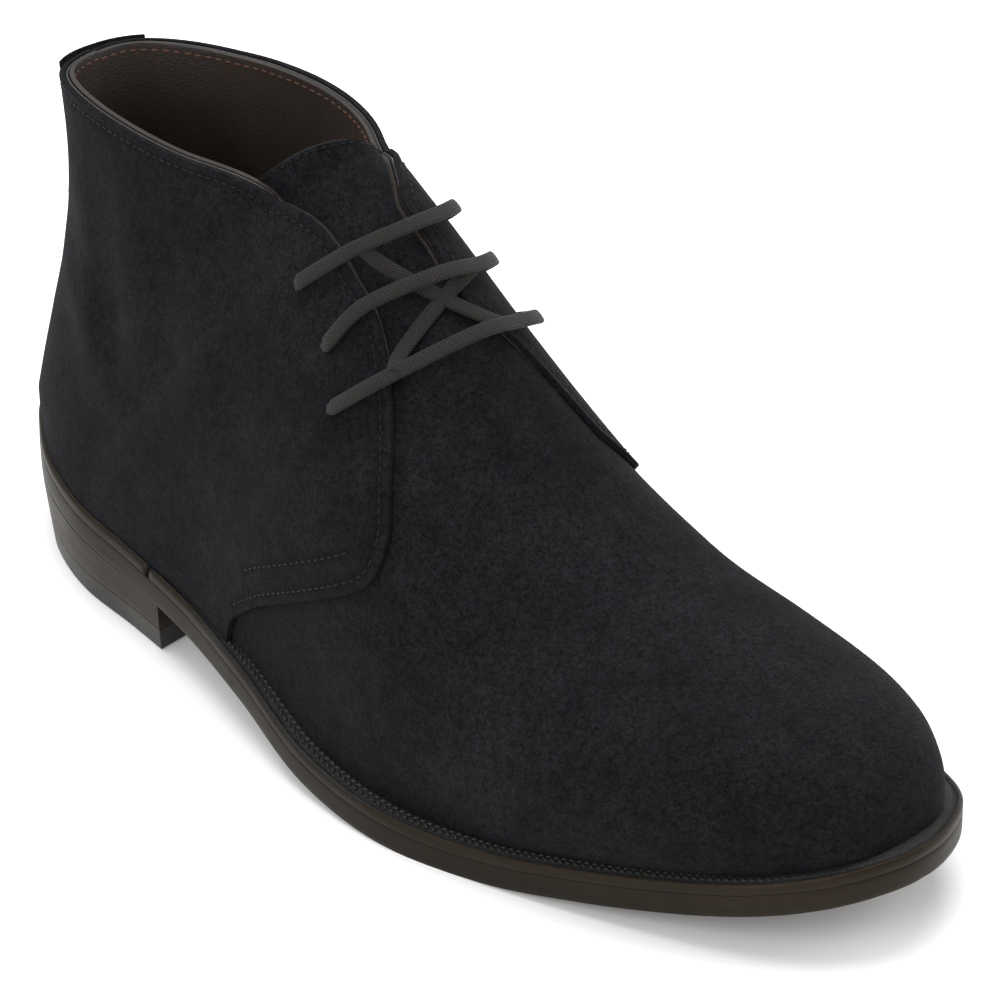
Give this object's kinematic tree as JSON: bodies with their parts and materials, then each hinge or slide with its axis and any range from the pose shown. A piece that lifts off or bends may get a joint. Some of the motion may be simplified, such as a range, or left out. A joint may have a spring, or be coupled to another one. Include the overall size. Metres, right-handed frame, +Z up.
{
  "type": "chukka boot",
  "caption": "Right chukka boot in dark suede with a leather lining, waxed laces, a stitched welt and a stacked heel, empty on its sole.",
  "frame": {"origin": "middle of the bounding box's underside, on the floor under the boot", "axes": "+Z up, toe towards -Y, heel towards +Y, outer side of the right foot at -X"},
  "size_m": [0.1117, 0.303, 0.1486],
  "materials": {
    "sole_leather": "burnished black-brown edge, satin",
    "welt_leather": "dyed black-brown, satin, stitched",
    "heel_leather": "burnished stacked leather, satin",
    "top_lift_rubber": "black rubber, matt",
    "insole_leather": "dark brown smooth leather",
    "lining_leather": "dark brown smooth lining leather",
    "suede": "blue-black suede with a fine nap",
    "lace_cotton": "waxed woven cotton, dark grey"
  },
  "bodies": {
    "root": {"outsole": "sole_leather", "welt": "welt_leather", "heel_seat": "welt_leather", "heel_block": "heel_leather", "top_lift": "top_lift_rubber", "insole": "insole_leather", "upper": "lining_leather", "quarter_outer": "suede", "quarter_inner": "suede", "tongue": "suede", "heel_tab": "suede", "laces": "lace_cotton"}
  },
  "joints": []
}
